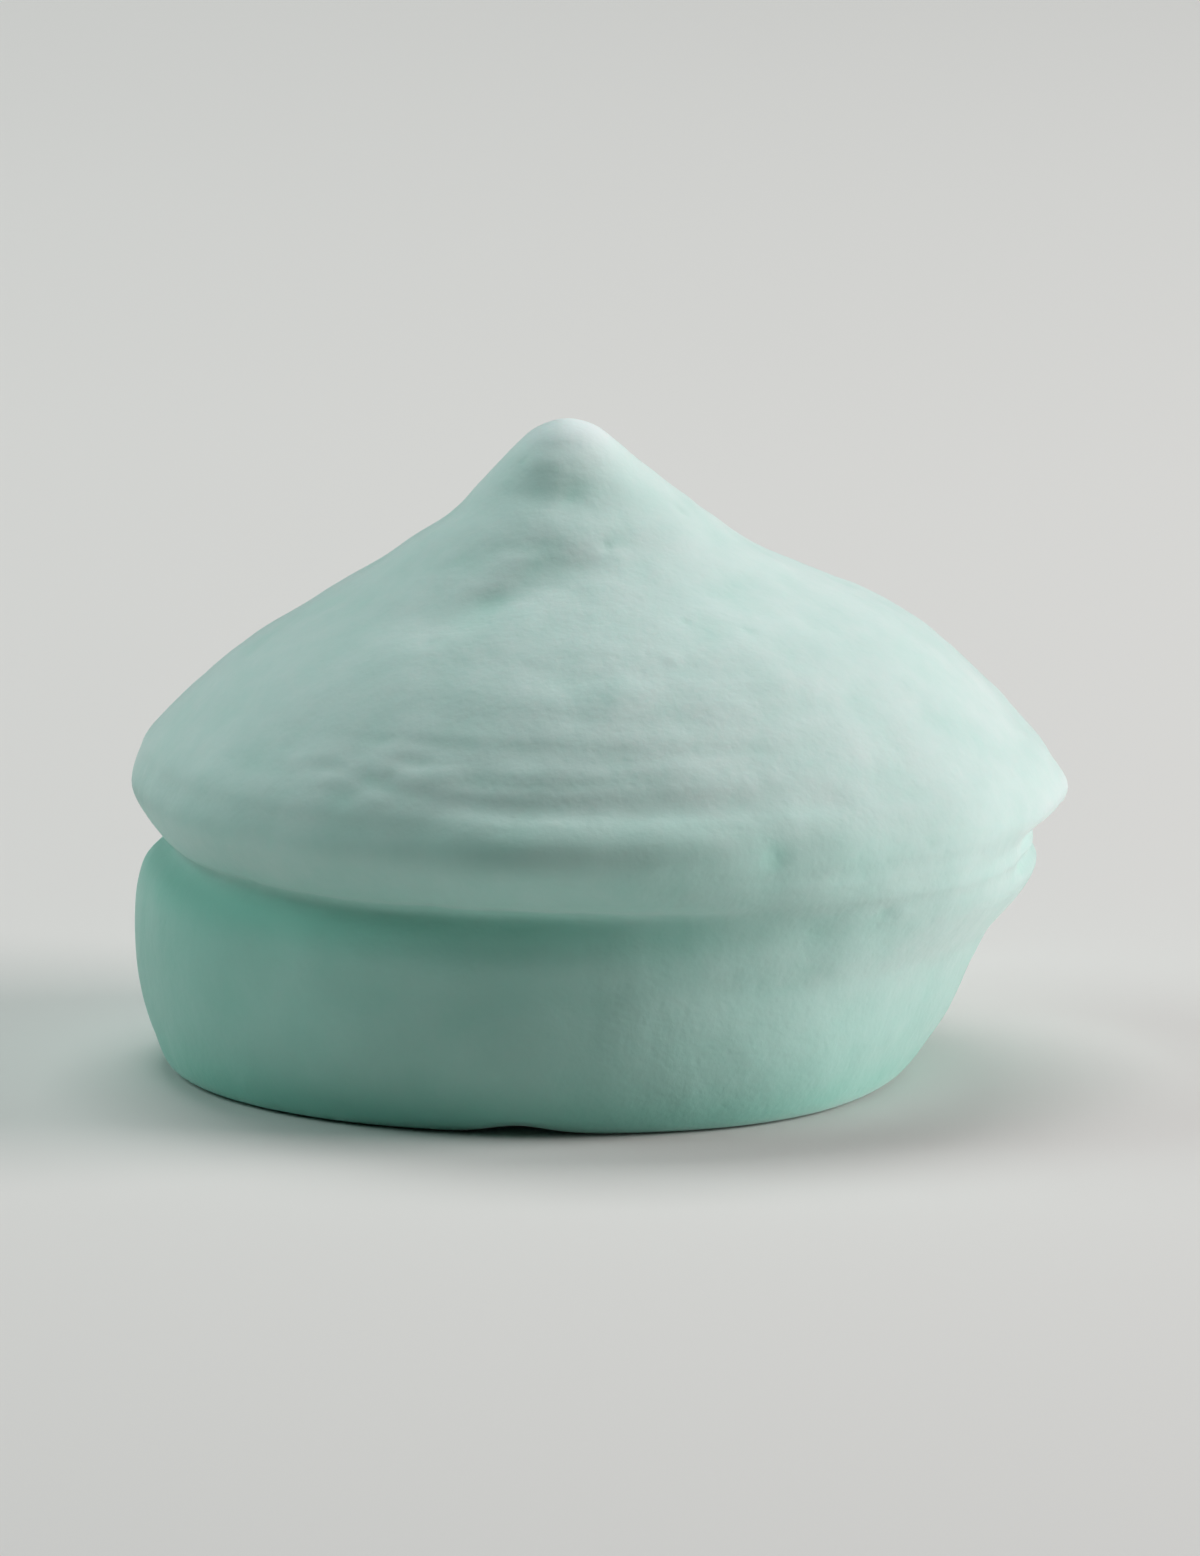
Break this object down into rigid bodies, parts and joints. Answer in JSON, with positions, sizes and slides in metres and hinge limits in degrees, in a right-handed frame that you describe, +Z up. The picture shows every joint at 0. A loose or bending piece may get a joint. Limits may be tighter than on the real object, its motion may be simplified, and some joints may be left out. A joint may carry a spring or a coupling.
{
  "type": "meringue cookie",
  "caption": "Piped meringue kiss: flat-bottomed foot, thick overhanging brim and a ridged dome drawn up to a small twisted tip.",
  "frame": {"origin": "middle of the footprint of the whole cookie, on the surface that it stands on", "axes": "+Z up through the tip; +X to the side where the brim has its torn lip; -Y the front, which the picture shows"},
  "size_m": [0.0402, 0.0386, 0.0281],
  "materials": {
    "meringue": "matte"
  },
  "bodies": {
    "root": {"meringue_cookie": "meringue"}
  },
  "joints": []
}
